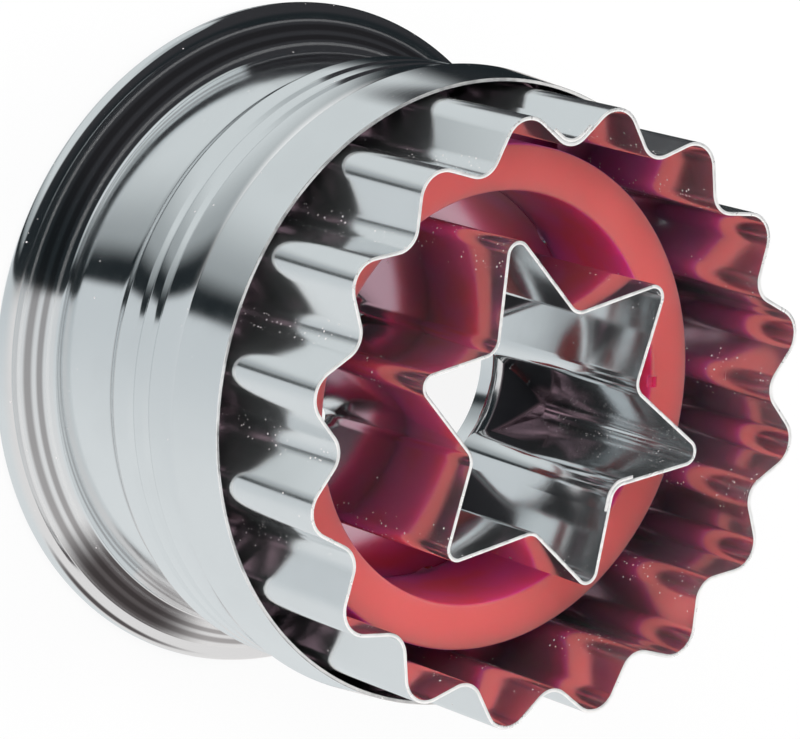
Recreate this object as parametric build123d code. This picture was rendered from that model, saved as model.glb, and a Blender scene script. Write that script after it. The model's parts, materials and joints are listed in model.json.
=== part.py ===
from build123d import *
import math
import os

# A linzer cookie cutter: a flanged sheet-metal sleeve that holds a fluted cutter and a star cutter,
# with a sprung plastic ring between them that pushes the cut biscuit out.
# Millimetres. The cutter stands on its finger flange, axis on Z, cutting edges up.

# Sheet metal. Spun rounds are drawn in flats, none of which turns further than this.
SHEET = 0.3
LAP_FLANK = 1.0
FLAT_TURN = 60.0

# Fluted cutter, on its outer face
FLUTES = 16
FLUTE_CREST_RADIUS = 24.0
FLUTE_DEPTH = 2.7
FLUTE_CREST_ROUND = 2.3
FLUTE_VALLEY_ROUND = 1.7
FLUTE_REACH = 10.5
FLUTE_LAP_VALLEY = 15

# Ejector ring and its posts
RING_CLEARANCE = 1.2
RING_WALL = 3.6
RING_SETBACK = 8.5
RING_EDGE_BREAK = 0.2
RING_SEAT_GAP = 0.1
GATE_WIDTH = 1.5
GATE_REACH = 1.0
GATE_DEPTH = 0.8
GATE_TURN = 257.0
POSTS = 3
POST_TURN = 56.0
POST_SHOULDER = 0.1
POST_CLEARANCE = 0.3
EJECT_PAST_EDGE = 0.5

# Star cutter, on its outer face. It was bent by hand, so no two of its points are quite alike. Each
# row is one point and the corner after it: its distance in from the ring's bore, and its bearing.
STAR_BENDS = (
    (1.4, 7, 7.4, 35),
    (2.6, 61, 7.6, 93),
    (2.4, 123, 7.1, 156),
    (2.2, 185, 7.3, 213),
    (1.3, 241, 7.9, 270),
    (2.7, 301, 7.8, 336),
)
STAR_POINT_ROUND = 1.1
STAR_CORNER_ROUND = 1.2
STAR_SETBACK = 0.65
STAR_LAP_CORNER = 3
STAR_TAB_POINTS = (0, 2, 4)
TAB_WIDTH = 2.6
TAB_REACH = 1.8
TAB_CLEARANCE = 0.1

# Flanged sleeve
FLUTE_CLEARANCE = 0.1
LOWER_GROOVE_RISE = 2.3
GROOVE_SPACING = 2.0
GROOVE_HALF_HEIGHT = 0.45
GROOVE_DEPTH = 0.25
SHOULDER_HEIGHT = 3.85
SHOULDER_RISE = 0.6
BAND_HEIGHT = 5.1
BAND_TAPER = 0.4
STEP_DEPTH = 0.8
STEP_HEIGHT = 1.4
FLARE_RISE = 2.3
FLARE_TURN = 35.0
FLARE_KNEE_ROUND = 4.5
FLARE_HEEL_ROUND = 0.6
FLANGE_WEB = 0.85
BEAD_RADIUS = 1.15

# Carrier plate
PLATE_GROOVE_CLEARANCE = 0.75
RIM_CLEARANCE = 0.05
RIM_SEAT_GAP = 0.3
COLLAR_INSET = 7.4
COLLAR_LENGTH = 2.1
COLLAR_BEND = 0.5

# Return springs
WIRE = 0.4
WIRE_SIDES = 4
SPRING_POST_CLEARANCE = 0.45
SPRING_PRESSED_LENGTH = 3.1
SPRING_END_TURNS = 1
SPRING_END_PITCH = 0.95
SPRING_MIDDLE_TURNS = 3
SPRING_SEAT_GAP = 0.1
QUARTER_TURN = 0.25

# Push ring
PUSH_RECESS = 2.7
PUSH_THICKNESS = 3.4
PUSH_CLEARANCE = 0.6
PUSH_BAND_WIDTH = 1.8
PAD_REACH = 4.5
PAD_HALF_ANGLE = 20.0
PAD_CORNER_ROUND = 1.6
PUSH_EDGE_BREAK = 0.4
POST_SEAT_DEPTH = 1.2
POST_SEAT_CLEARANCE = 0.05

# Push ring screws
SCREW_RADIUS = 0.9
SCREW_REACH = 5.6
SCREW_CLEARANCE = 0.1
HEAD_RADIUS = 1.8
HEAD_HEIGHT = 1.15
HEAD_EDGE_BREAK = 0.35
HEAD_RECESS_DEPTH = 1.3
HEAD_RECESS_CLEARANCE = 0.2
CROSS_WIDTH = 0.5
CROSS_LENGTH = 2.2
CROSS_DEPTH = 0.5

# Radii that follow, from the flutes inward
FLUTE_VALLEY_RADIUS = FLUTE_CREST_RADIUS - FLUTE_DEPTH
RING_OUTER_RADIUS = FLUTE_VALLEY_RADIUS - SHEET - RING_CLEARANCE
RING_BORE_RADIUS = RING_OUTER_RADIUS - RING_WALL
POST_CIRCLE_RADIUS = RING_BORE_RADIUS + RING_WALL / 2
POST_RADIUS = RING_WALL / 2 - POST_SHOULDER
COLLAR_BORE_RADIUS = RING_BORE_RADIUS - COLLAR_INSET
SPRING_MEAN_RADIUS = POST_RADIUS + SPRING_POST_CLEARANCE + WIRE / 2
SPRING_TURNS = SPRING_MIDDLE_TURNS + 2 * SPRING_END_TURNS

# Radii that follow, from the flutes outward and along the sleeve
LAND_RADIUS = FLUTE_CREST_RADIUS + FLUTE_CLEARANCE + SHEET
CREASE_RADIUS = LAND_RADIUS + SHOULDER_RISE
BAND_EDGE_RADIUS = CREASE_RADIUS - BAND_TAPER
DRUM_RADIUS = LAND_RADIUS - STEP_DEPTH
RIM_RADIUS = LAND_RADIUS - SHEET - GROOVE_DEPTH - RIM_CLEARANCE
PUSH_OUTER_RADIUS = DRUM_RADIUS - SHEET - PUSH_CLEARANCE
PAD_INNER_RADIUS = POST_CIRCLE_RADIUS - PAD_REACH

# Heights that follow, from the flange face up
TRAVEL = RING_SETBACK + EJECT_PAST_EDGE
SPRING_LENGTH = TRAVEL + SPRING_PRESSED_LENGTH
PUSH_BACK = PUSH_RECESS
PUSH_FACE = PUSH_BACK + PUSH_THICKNESS
POST_END = PUSH_FACE - POST_SEAT_DEPTH
HEAD_SEAT = PUSH_BACK + HEAD_RECESS_DEPTH
PLATE_BACK = PUSH_FACE + SPRING_LENGTH
PLATE_FACE = PLATE_BACK + SHEET
RING_FOOT = PLATE_FACE + RING_SEAT_GAP
UPPER_GROOVE = PLATE_FACE - PLATE_GROOVE_CLEARANCE - GROOVE_HALF_HEIGHT
LOWER_GROOVE = UPPER_GROOVE - GROOVE_SPACING
LAND_FOOT = LOWER_GROOVE - LOWER_GROOVE_RISE
CREASE_HEIGHT = UPPER_GROOVE + GROOVE_HALF_HEIGHT + SHOULDER_HEIGHT
BAND_EDGE_HEIGHT = CREASE_HEIGHT + BAND_HEIGHT
CUTTING_HEIGHT = BAND_EDGE_HEIGHT + FLUTE_REACH
STAR_EDGE = CUTTING_HEIGHT - STAR_SETBACK
RING_FACE = CUTTING_HEIGHT - RING_SETBACK


def polar(radius, degrees):
    angle = math.radians(degrees)
    return Vector(radius * math.cos(angle), radius * math.sin(angle))


def post_places():
    turns = [POST_TURN + 360 * i / POSTS for i in range(POSTS)]
    return [Location(polar(POST_CIRCLE_RADIUS, turn)) for turn in turns]


def eased(corners):
    """The places along a line whose corners, as (radius, height, bend), are bent in a few flats."""
    places = [Vector(radius, height) for radius, height, _ in corners]
    line = [places[0]]
    for before, corner, after, (_, _, bend) in zip(places, places[1:], places[2:], corners[1:]):
        into, out = (corner - before).normalized(), (after - corner).normalized()
        turn = math.atan2(into.cross(out).Z, into.dot(out))
        start = corner - into * bend * math.tan(abs(turn) / 2)
        centre = corner + (out - into).normalized() * bend / math.cos(turn / 2)
        flats = max(1, math.ceil(math.degrees(abs(turn)) / FLAT_TURN))
        for i in range(flats + 1):
            line.append(centre + (start - centre).rotate(Axis.Z, math.degrees(turn) * i / flats))
    line.append(places[-1])
    touching = SHEET / 1000
    return line[:1] + [b for a, b in zip(line, line[1:]) if (b - a).length > touching]


def set_off(line, shift):
    """A line of places moved sideways to its left, with mitred corners."""
    ways = [(b - a).normalized() for a, b in zip(line, line[1:])]
    lefts = [Vector(-way.Y, way.X) for way in ways]
    moved = []
    for place, before, after in zip(line, lefts[:1] + lefts, lefts + lefts[-1:]):
        middle = (before + after).normalized()
        moved.append(place + middle * shift / before.dot(middle))
    return moved


def spun_sheet(corners):
    """Turns a sheet's middle line, as corners of radius, height and bend, into a spun sheet wall."""
    line = eased(corners)
    outline = set_off(line, SHEET / 2) + set_off(line, -SHEET / 2)[::-1]
    return revolve(Plane.XZ * make_face(Polyline(*outline, close=True)), Axis.Z)


def peg(reach, turn, bend):
    """A peg that a strip is bent round, so that its outer face reaches this far from the axis."""
    return polar(reach - bend, turn), bend


class BentStrip:
    """A closed strip bent round pegs, which lie inside its points and, with negative bends, outside
    its corners."""

    def __init__(self, pegs):
        self.pegs = pegs

    def normal(self, index):
        """The outward direction of the flank that runs from one peg to the next."""
        here, here_bend = self.pegs[index % len(self.pegs)]
        there, there_bend = self.pegs[(index + 1) % len(self.pegs)]
        along = (there - here).normalized()
        outward = Vector(along.Y, -along.X)
        share = (here_bend - there_bend) / (there - here).length
        return along * share + outward * math.sqrt(1 - share**2)

    def bend(self, index, inset):
        """The arc round one peg, set in from the outer face."""
        centre, bend = self.pegs[index]
        before, after = self.normal(index - 1), self.normal(index)
        ways = (before, (before + after).normalized(), after)
        return ThreePointArc(*[centre + way * (bend - inset) for way in ways])

    def outline(self, inset):
        bends = [self.bend(index, inset) for index in range(len(self.pegs))]
        flanks = [Line(a @ 1, b @ 0) for a, b in zip(bends, bends[1:] + bends[:1])]
        return make_face(bends + flanks)

    def strip(self, foot, edge):
        ring = self.outline(0) - self.outline(SHEET)
        return Pos(0, 0, foot) * extrude(ring, edge - foot)

    def lap(self, index, layer, foot, edge):
        """The strip's overlapping end: one bend with a stretch of each flank, so many layers in."""
        starts, ends, edges = [], [], []
        for inset in (layer * SHEET, (layer + 1) * SHEET):
            bend = self.bend(index, inset)
            starts.append((bend @ 0) - (bend % 0) * LAP_FLANK)
            ends.append((bend @ 1) + (bend % 1) * LAP_FLANK)
            edges += [Line(starts[-1], bend @ 0), bend, Line(bend @ 1, ends[-1])]
        section = make_face(edges + [Line(*starts), Line(*ends)])
        return Pos(0, 0, foot) * extrude(section, edge - foot)

    def flank_place(self, index):
        """A frame on the middle of a flank's sheet: X along the flank, Y outward."""
        start = self.bend(index, SHEET / 2) @ 1
        end = self.bend(index + 1, SHEET / 2) @ 0
        return Plane((start + end) / 2, x_dir=start - end, z_dir=(0, 0, 1))


def flute_pegs():
    step = 360 / FLUTES
    pegs = []
    for index in range(FLUTES):
        pegs.append(peg(FLUTE_CREST_RADIUS, step * index, FLUTE_CREST_ROUND))
        pegs.append(peg(FLUTE_VALLEY_RADIUS, step * (index + 0.5), -FLUTE_VALLEY_ROUND))
    return pegs


def star_pegs():
    pegs = []
    for point_inset, point_turn, corner_inset, corner_turn in STAR_BENDS:
        pegs.append(peg(RING_BORE_RADIUS - point_inset, point_turn, STAR_POINT_ROUND))
        pegs.append(peg(RING_BORE_RADIUS - corner_inset, corner_turn, -STAR_CORNER_ROUND))
    return pegs


flutes = BentStrip(flute_pegs())
star = BentStrip(star_pegs())


def groove(height, radius):
    """A fine groove rolled into the sleeve."""
    return [
        (radius, height + GROOVE_HALF_HEIGHT, 0),
        (radius - GROOVE_DEPTH, height, 0),
        (radius, height - GROOVE_HALF_HEIGHT, 0),
    ]


def flanged_sleeve():
    """Front band, crease, shoulder, grooved land, step, drum and the flange's rolled edge."""
    half = SHEET / 2
    land = LAND_RADIUS - half
    drum = DRUM_RADIUS - half
    shoulder_foot = CREASE_HEIGHT - SHOULDER_HEIGHT / 2
    heel = drum + FLARE_RISE * math.tan(math.radians(FLARE_TURN))
    bead = BEAD_RADIUS - half
    bead_centre = heel + FLANGE_WEB
    return spun_sheet([
        (BAND_EDGE_RADIUS - half, BAND_EDGE_HEIGHT, 0),
        (CREASE_RADIUS - half, CREASE_HEIGHT, 0),
        (land, shoulder_foot, 0),
        *groove(UPPER_GROOVE, land),
        *groove(LOWER_GROOVE, land),
        (land, LAND_FOOT, 0),
        (drum, LAND_FOOT - STEP_HEIGHT, 0),
        (drum, half + FLARE_RISE, FLARE_KNEE_ROUND),
        (heel, half, FLARE_HEEL_ROUND),
        (bead_centre + bead, half, bead),
        (bead_centre + bead, half + 2 * bead, bead),
        (bead_centre - bead, half + 2 * bead, bead),
        (bead_centre - bead, half + bead, 0),
    ])


def carrier_plate():
    """A pan with a collared hole, a turned rim, holes for the posts and slits for the star's tabs."""
    half = SHEET / 2
    middle = PLATE_FACE - half
    collar = COLLAR_BORE_RADIUS + half
    rim = RIM_RADIUS - half
    plate = spun_sheet([
        (collar, PLATE_FACE - COLLAR_LENGTH, 0),
        (collar, middle, COLLAR_BEND),
        (rim, middle, 0),
        (rim, LAND_FOOT + RIM_SEAT_GAP, 0),
    ])
    hole = Cylinder(POST_RADIUS + POST_CLEARANCE, 4 * SHEET)
    slit = Box(TAB_WIDTH + 2 * TAB_CLEARANCE, SHEET + 2 * TAB_CLEARANCE, 4 * SHEET)
    for place in post_places():
        plate -= Pos(0, 0, middle) * place * hole
    for point in STAR_TAB_POINTS:
        plate -= Pos(0, 0, middle) * star.flank_place(2 * point).location * slit
    return plate


def fluted_cutter():
    """The fluted strip, its seam lapped outside one valley."""
    strip = flutes.strip(PLATE_FACE, CUTTING_HEIGHT)
    return strip + flutes.lap(2 * FLUTE_LAP_VALLEY + 1, -1, PLATE_FACE, CUTTING_HEIGHT)


def star_cutter():
    """The star's strip, its lapped seam, and the tabs bent over behind the carrier plate."""
    cutter = star.strip(PLATE_FACE, STAR_EDGE)
    cutter += star.lap(2 * STAR_LAP_CORNER + 1, 1, PLATE_FACE, STAR_EDGE)
    foot = PLATE_BACK - SHEET
    low_corner = (Align.CENTER, Align.CENTER, Align.MIN)
    shank = Box(TAB_WIDTH, SHEET, PLATE_FACE - foot, align=low_corner)
    bent = Box(TAB_WIDTH, TAB_REACH, SHEET, align=(Align.CENTER, Align.MIN, Align.MIN))
    tab = shank + Pos(0, -SHEET / 2, 0) * bent
    for point in STAR_TAB_POINTS:
        cutter += Pos(0, 0, foot) * star.flank_place(2 * point).location * tab
    return cutter


def ejector_ring():
    """The moulded tube that pushes the biscuit, with three screw posts behind it."""
    height = RING_FACE - RING_FOOT
    tube = Cylinder(RING_OUTER_RADIUS, height) - Cylinder(RING_BORE_RADIUS, height)
    rims = tube.edges().filter_by(GeomType.CIRCLE).group_by(Axis.Z)[-1]
    tube = Pos(0, 0, (RING_FACE + RING_FOOT) / 2) * chamfer(rims, RING_EDGE_BREAK)
    gate = Box(2 * GATE_REACH, GATE_WIDTH, 2 * GATE_DEPTH)
    tube -= Location(polar(RING_BORE_RADIUS, GATE_TURN), (0, 0, GATE_TURN)) * Pos(0, 0, RING_FACE) * gate
    top = (Align.CENTER, Align.CENTER, Align.MAX)
    base = (Align.CENTER, Align.CENTER, Align.MIN)
    post = Pos(0, 0, RING_FOOT) * Cylinder(POST_RADIUS, RING_FOOT - POST_END, align=top)
    pilot = Pos(0, 0, POST_END) * Cylinder(SCREW_RADIUS + SCREW_CLEARANCE, SCREW_REACH, align=base)
    for place in post_places():
        tube = tube + place * post - place * pilot
    return tube


def push_ring():
    """A slim band with three finger pads, each seated on a post and recessed for its screw."""
    band = Circle(PUSH_OUTER_RADIUS) - Circle(PUSH_OUTER_RADIUS - PUSH_BAND_WIDTH)
    disc = Circle(PUSH_OUTER_RADIUS) - Circle(PAD_INNER_RADIUS)
    reach = 2 * PUSH_OUTER_RADIUS
    corners = [(0, 0), polar(reach, -PAD_HALF_ANGLE), polar(reach, PAD_HALF_ANGLE)]
    sector = make_face(Polyline(*corners, close=True))
    pad = disc & sector
    inner = pad.vertices().sort_by(lambda v: v.center().length)[:2]
    pad = fillet(inner, PAD_CORNER_ROUND)
    for place in post_places():
        band += Rot(0, 0, math.degrees(math.atan2(place.position.Y, place.position.X))) * pad
    ring = extrude(band, PUSH_THICKNESS)
    back = ring.faces().sort_by(Axis.Z)[0]
    ring = Pos(0, 0, PUSH_BACK) * chamfer(back.edges(), PUSH_EDGE_BREAK)

    base = (Align.CENTER, Align.CENTER, Align.MIN)
    seat = Cylinder(POST_RADIUS + POST_SEAT_CLEARANCE, PUSH_THICKNESS, align=base)
    through = Cylinder(SCREW_RADIUS + SCREW_CLEARANCE, 2 * PUSH_THICKNESS)
    recess = Cylinder(HEAD_RADIUS + HEAD_RECESS_CLEARANCE, 2 * HEAD_RECESS_DEPTH)
    for place in post_places():
        ring -= Pos(0, 0, POST_END) * place * seat
        ring -= Pos(0, 0, PUSH_BACK) * place * (through + recess)
    return ring


def push_ring_screw():
    """A screw with a chamfered head and a cross recess."""
    base = (Align.CENTER, Align.CENTER, Align.MIN)
    top = (Align.CENTER, Align.CENTER, Align.MAX)
    head = Cylinder(HEAD_RADIUS, HEAD_HEIGHT, align=top)
    head = chamfer(head.edges().group_by(Axis.Z)[0], HEAD_EDGE_BREAK)
    slot = Box(CROSS_LENGTH, CROSS_WIDTH, 2 * CROSS_DEPTH)
    drive = Pos(0, 0, -HEAD_HEIGHT) * (slot + Rot(0, 0, 90) * slot)
    shank = Cylinder(SCREW_RADIUS, SCREW_REACH + POST_END - HEAD_SEAT, align=base)
    return Pos(0, 0, HEAD_SEAT) * (head + shank - drive)


def spring_point(turn):
    """A point of the wire's middle line after so many turns, closer wound at both ends."""
    span = SPRING_LENGTH - WIRE - 2 * SPRING_SEAT_GAP
    middle_pitch = (span - 2 * SPRING_END_TURNS * SPRING_END_PITCH) / SPRING_MIDDLE_TURNS
    middle = min(max(turn - SPRING_END_TURNS, 0), SPRING_MIDDLE_TURNS)
    rise = (turn - middle) * SPRING_END_PITCH + middle * middle_pitch
    point = polar(SPRING_MEAN_RADIUS, 360 * turn)
    return Vector(point.X, point.Y, PUSH_FACE + SPRING_SEAT_GAP + WIRE / 2 + rise)


def spring_way(turn):
    """The wire's direction: level at both ends, and along the neighbouring points between them."""
    if turn in (0, SPRING_TURNS):
        return polar(1, 360 * (turn + QUARTER_TURN))
    return (spring_point(turn + QUARTER_TURN / 2) - spring_point(turn - QUARTER_TURN / 2)).normalized()


def biarc(start, start_way, end, end_way):
    """Two arcs that join two points and leave and arrive in the given directions."""
    chord = end - start
    bend = 2 * (1 - start_way.dot(end_way))
    lean = chord.dot(start_way + end_way)
    reach = (math.sqrt(lean**2 + bend * chord.dot(chord)) - lean) / bend
    near = start + start_way * reach
    far = end - end_way * reach
    joint = (near + far) / 2
    first = Edge.make_tangent_arc(start, start_way, joint)
    second = Edge.make_tangent_arc(joint, (far - near).normalized(), end)
    return [first, second]


def return_spring():
    """One unbroken wire, swept along quarter-turn biarcs, with a straight run at each end."""
    turns = [QUARTER_TURN * i for i in range(round(SPRING_TURNS / QUARTER_TURN) + 1)]
    points = [spring_point(turn) for turn in turns]
    ways = [spring_way(turn) for turn in turns]
    edges = [Edge.make_line(points[0] - ways[0] * WIRE, points[0])]
    for i in range(len(turns) - 1):
        edges += biarc(points[i], ways[i], points[i + 1], ways[i + 1])
    edges.append(Edge.make_line(points[-1], points[-1] + ways[-1] * WIRE))
    path = Wire(edges)
    section = Plane(path @ 0, z_dir=path % 0) * RegularPolygon(WIRE / 2, WIRE_SIDES)
    return sweep(section, path)


def spring_self_gap():
    """The least clear space between neighbouring turns, measured on points of the middle line."""
    steps = 48
    count = steps * SPRING_TURNS + 1
    points = [spring_point(i / steps) for i in range(count)]
    apart = steps // 2
    pairs = [(a, b) for a in range(count) for b in range(a + apart, count)]
    return min((points[a] - points[b]).length for a, b in pairs) - WIRE


os.makedirs("parts", exist_ok=True)

nodes = {
    "flanged_sleeve": flanged_sleeve(),
    "carrier_plate": carrier_plate(),
    "fluted_cutter": fluted_cutter(),
    "star_cutter": star_cutter(),
    "ejector_ring": ejector_ring(),
    "push_ring": push_ring(),
}
screw = push_ring_screw()
nodes["push_ring_screws"] = Compound([place * screw for place in post_places()])
spring = return_spring()
for number, place in enumerate(post_places(), start=1):
    nodes[f"return_spring_{number}"] = place * spring

print("spring, least gap between turns:", round(spring_self_gap(), 2), "mm")
print("spring, length left at full travel:", round(SPRING_LENGTH - TRAVEL, 2), "mm")
for name, shape in nodes.items():
    export_step(shape, f"parts/{name}.step")
    print(name, "volume", round(shape.volume, 1), "mm3")
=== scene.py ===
# %% [markdown]
# # A linzer cookie cutter
# The real tool cuts the top biscuit of a filled pair: a fluted ring cuts its edge, a star cuts its
# window, and a sprung plastic ring between the two pushes the dough out again. Everything here is
# built in metres in the frame of the engineered model, so that each dressed piece lands exactly on
# the solid that it stands for. The cutter stands on its finger flange, with its axis on Z.

# %% Load the frame
import json
import math

import bmesh
import bpy
from mathutils import Matrix, Vector

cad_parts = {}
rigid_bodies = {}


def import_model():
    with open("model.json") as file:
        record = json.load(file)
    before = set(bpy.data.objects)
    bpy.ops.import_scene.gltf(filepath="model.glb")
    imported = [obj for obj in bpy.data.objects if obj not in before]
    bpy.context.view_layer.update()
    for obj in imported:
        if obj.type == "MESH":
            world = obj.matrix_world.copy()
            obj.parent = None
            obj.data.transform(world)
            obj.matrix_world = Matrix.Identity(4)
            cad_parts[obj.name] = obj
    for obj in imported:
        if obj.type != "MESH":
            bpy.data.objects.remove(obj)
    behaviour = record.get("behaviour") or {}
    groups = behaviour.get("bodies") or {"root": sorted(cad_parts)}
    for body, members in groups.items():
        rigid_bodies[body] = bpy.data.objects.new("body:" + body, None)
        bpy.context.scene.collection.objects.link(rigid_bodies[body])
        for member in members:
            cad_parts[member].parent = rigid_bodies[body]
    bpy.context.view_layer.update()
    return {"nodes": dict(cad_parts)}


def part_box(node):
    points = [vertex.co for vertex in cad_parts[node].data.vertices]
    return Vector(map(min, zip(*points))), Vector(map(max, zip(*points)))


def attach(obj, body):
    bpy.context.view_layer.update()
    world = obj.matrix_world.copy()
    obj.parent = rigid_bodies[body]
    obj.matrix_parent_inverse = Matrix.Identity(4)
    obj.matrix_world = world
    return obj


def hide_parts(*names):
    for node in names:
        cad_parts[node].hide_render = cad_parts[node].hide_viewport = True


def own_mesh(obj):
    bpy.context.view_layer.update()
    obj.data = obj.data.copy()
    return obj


for leftover in list(bpy.data.objects):
    bpy.data.objects.remove(leftover)
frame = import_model()
print("frame nodes:", ", ".join(sorted(frame["nodes"])))

# %% [markdown]
# The main heights and radii are read from the solids' boxes, so they can't drift from the model.
# Only what a box can't tell, such as a sheet's thickness or a bend's radius, is typed as a size.

# %% Sizes that the solids give
MM = 0.001
SHEET = 0.3 * MM
HALF = SHEET / 2


def top_of(node):
    """The largest x, y and z of a solid."""
    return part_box(node)[1]


def foot_of(node):
    """The smallest x, y and z of a solid."""
    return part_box(node)[0]


FLANGE_RADIUS = top_of("flanged_sleeve").x
FLUTE_EDGE = top_of("fluted_cutter").z
FLUTE_CREST = top_of("fluted_cutter").x
STAR_EDGE = top_of("star_cutter").z
PLATE_FACE = top_of("carrier_plate").z
PLATE_BACK = PLATE_FACE - SHEET
RIM_RADIUS = top_of("carrier_plate").x
RIM_FOOT = foot_of("carrier_plate").z
RING_RADIUS = top_of("ejector_ring").x
RING_FACE = top_of("ejector_ring").z
POST_END = foot_of("ejector_ring").z
PUSH_FACE = top_of("push_ring").z
print(f"flange {2000 * FLANGE_RADIUS:.1f} mm wide, cutting edge {1000 * FLUTE_EDGE:.1f} mm up")

# %% [markdown]
# ## Camera
# The photograph was taken with a long lens, from in front of the cutting edges and well to one
# side. A camera that is rolled about its view shows the standing tool as the lying one in the
# photograph, so the object itself never has to be turned.

# %% Camera
VIEW_AIM = Vector((0.1, -0.1, 17.1)) * MM
VIEW_DISTANCE = 390.3 * MM
VIEW_AZIMUTH = math.radians(59.34)
VIEW_ELEVATION = math.radians(50.19)
VIEW_ROLL = math.radians(106.88)
SENSOR_WIDTH = 36.0
LENS = 223.5
NEAREST = 0.01

camera_data = bpy.data.cameras.new("camera")
camera_data.sensor_width = SENSOR_WIDTH
camera_data.lens = LENS
camera_data.clip_start = NEAREST
camera = bpy.data.objects.new("camera", camera_data)
bpy.context.scene.collection.objects.link(camera)
away = Vector((
    math.cos(VIEW_AZIMUTH) * math.cos(VIEW_ELEVATION),
    math.sin(VIEW_AZIMUTH) * math.cos(VIEW_ELEVATION),
    math.sin(VIEW_ELEVATION),
))
unrolled = (-away).to_track_quat("-Z", "Y").to_matrix().to_4x4()
rolled = unrolled @ Matrix.Rotation(VIEW_ROLL, 4, "Z")
camera.matrix_world = Matrix.Translation(VIEW_AIM + away * VIEW_DISTANCE) @ rolled
bpy.context.scene.camera = camera
print(f"camera {1000 * VIEW_DISTANCE:.0f} mm away, {LENS:.0f} mm lens")

# %% [markdown]
# ## Two helpers for node trees
# Shader trees and geometry trees are the same kind of thing: boxes with sockets. `Value` wraps an
# output socket and overloads the arithmetic operators, so a formula in Python adds its Math nodes.
# `Graph.node` adds any other node: its settings first, then the values or links of its inputs.

# %% Node helpers
class Value:
    """An output socket that can take part in sums."""

    def __init__(self, graph, socket):
        self.graph = graph
        self.socket = socket

    def _math(self, operation, first, second):
        settings = {"operation": operation}
        return self.graph.node("ShaderNodeMath", settings, {0: first, 1: second})

    def __add__(self, other):
        return self._math("ADD", self, other)

    __radd__ = __add__

    def __sub__(self, other):
        return self._math("SUBTRACT", self, other)

    def __rsub__(self, other):
        return self._math("SUBTRACT", other, self)

    def __mul__(self, other):
        return self._math("MULTIPLY", self, other)

    __rmul__ = __mul__

    def __truediv__(self, other):
        return self._math("DIVIDE", self, other)

    def __pow__(self, other):
        return self._math("POWER", self, other)

    def __lt__(self, other):
        return self._math("LESS_THAN", self, other)

    def out(self, name):
        """Another output of the same node."""
        return Value(self.graph, self.socket.node.outputs[name])


class Graph:
    """A node tree with one way to add a node."""

    def __init__(self, tree):
        self.tree = tree

    def node(self, kind, settings=None, inputs=None):
        """A new node of this kind, as the Value of its first output."""
        made = self.tree.nodes.new(kind)
        for name, setting in (settings or {}).items():
            setattr(made, name, setting)
        for name, given in (inputs or {}).items():
            target = made.inputs[name]
            if isinstance(given, Value):
                self.tree.links.new(given.socket, target)
            elif given is not None:
                target.default_value = given
        return Value(self, made.outputs[0]) if made.outputs else made


print("helpers: Value for sums, Graph.node for nodes")

# %% [markdown]
# ## Materials
# Every surface is painted by formula, from the object's own coordinates, so a pattern stays on its
# piece when the piece moves and when the model is exported. A finish is then a sum of noise,
# heights and distances, and these helpers add the nodes that such sums start from.

# %% Shader helpers
def new_material(name):
    """A material with an empty tree, its graph, and the object's own coordinates."""
    material = bpy.data.materials.new(name)
    material.use_nodes = True
    material.node_tree.nodes.clear()
    graph = Graph(material.node_tree)
    return material, graph, graph.node("ShaderNodeTexCoord").out("Object")


def end_material(graph, inputs):
    """Ends a material in a Principled shader."""
    surface = graph.node("ShaderNodeBsdfPrincipled", None, inputs)
    graph.node("ShaderNodeOutputMaterial", None, {"Surface": surface})


def ramp(value, low, high):
    """Smoothly from 0 at low to 1 at high."""
    settings = {"interpolation_type": "SMOOTHSTEP"}
    limits = {"Value": value, "From Min": low, "From Max": high}
    return value.graph.node("ShaderNodeMapRange", settings, limits)


def blend(share, first, second):
    """A colour between two colours."""
    inputs = {0: share, 6: first, 7: second}
    return share.graph.node("ShaderNodeMix", {"data_type": "RGBA"}, inputs).out(2)


def noise(place, size, detail=2.0):
    """Cloudy noise with features of about this size."""
    inputs = {"Vector": place, "Scale": 1 / size, "Detail": detail}
    return place.graph.node("ShaderNodeTexNoise", {"noise_dimensions": "3D"}, inputs)


def squeezed(place, factors):
    """Coordinates multiplied by a factor for each axis."""
    settings = {"operation": "MULTIPLY"}
    return place.graph.node("ShaderNodeVectorMath", settings, {0: place, 1: factors})


def split(place):
    """The x, y and z of a vector."""
    parts = place.graph.node("ShaderNodeSeparateXYZ", None, {"Vector": place})
    return parts.out("X"), parts.out("Y"), parts.out("Z")


def distance_out(place):
    """The distance from the axis."""
    x, y, _ = split(place)
    return (x * x + y * y) ** 0.5


def specks(place, spacing, size, share):
    """Dots up to this size, in this share of the cells that fill the space."""
    graph = place.graph
    cells = graph.node("ShaderNodeTexVoronoi", None, {"Vector": place, "Scale": 1 / spacing})
    lot = graph.node("ShaderNodeSeparateColor", None, {"Color": cells.out("Color")})
    return (cells < lot.out("Green") * (size / spacing)) * (lot < share)


def bump(graph, height):
    """A normal that follows a height in metres."""
    inputs = {"Strength": 1.0, "Distance": 1.0, "Height": height}
    return graph.node("ShaderNodeBump", None, inputs)


print("shader helpers: ramps, blends, noise, specks and bumps")

# %% [markdown]
# Sheet keeps the lines of the tools that formed it, and they blur a reflection more across the
# lines than along them. Rolled strip has them along its length, so their noise is squeezed level.
# The drawn sleeve has them round the axis, so its noise is read in radius and height. A picture of
# scratches would need a seam on every piece.

# %% Lines in the sheet
SPUN_PITCH = 0.16 * MM
SPUN_RUN = 1.5
ROLLED_PITCH = 0.12 * MM
ROLLED_SQUEEZE = (0.04, 0.04, 1.0)


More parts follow.
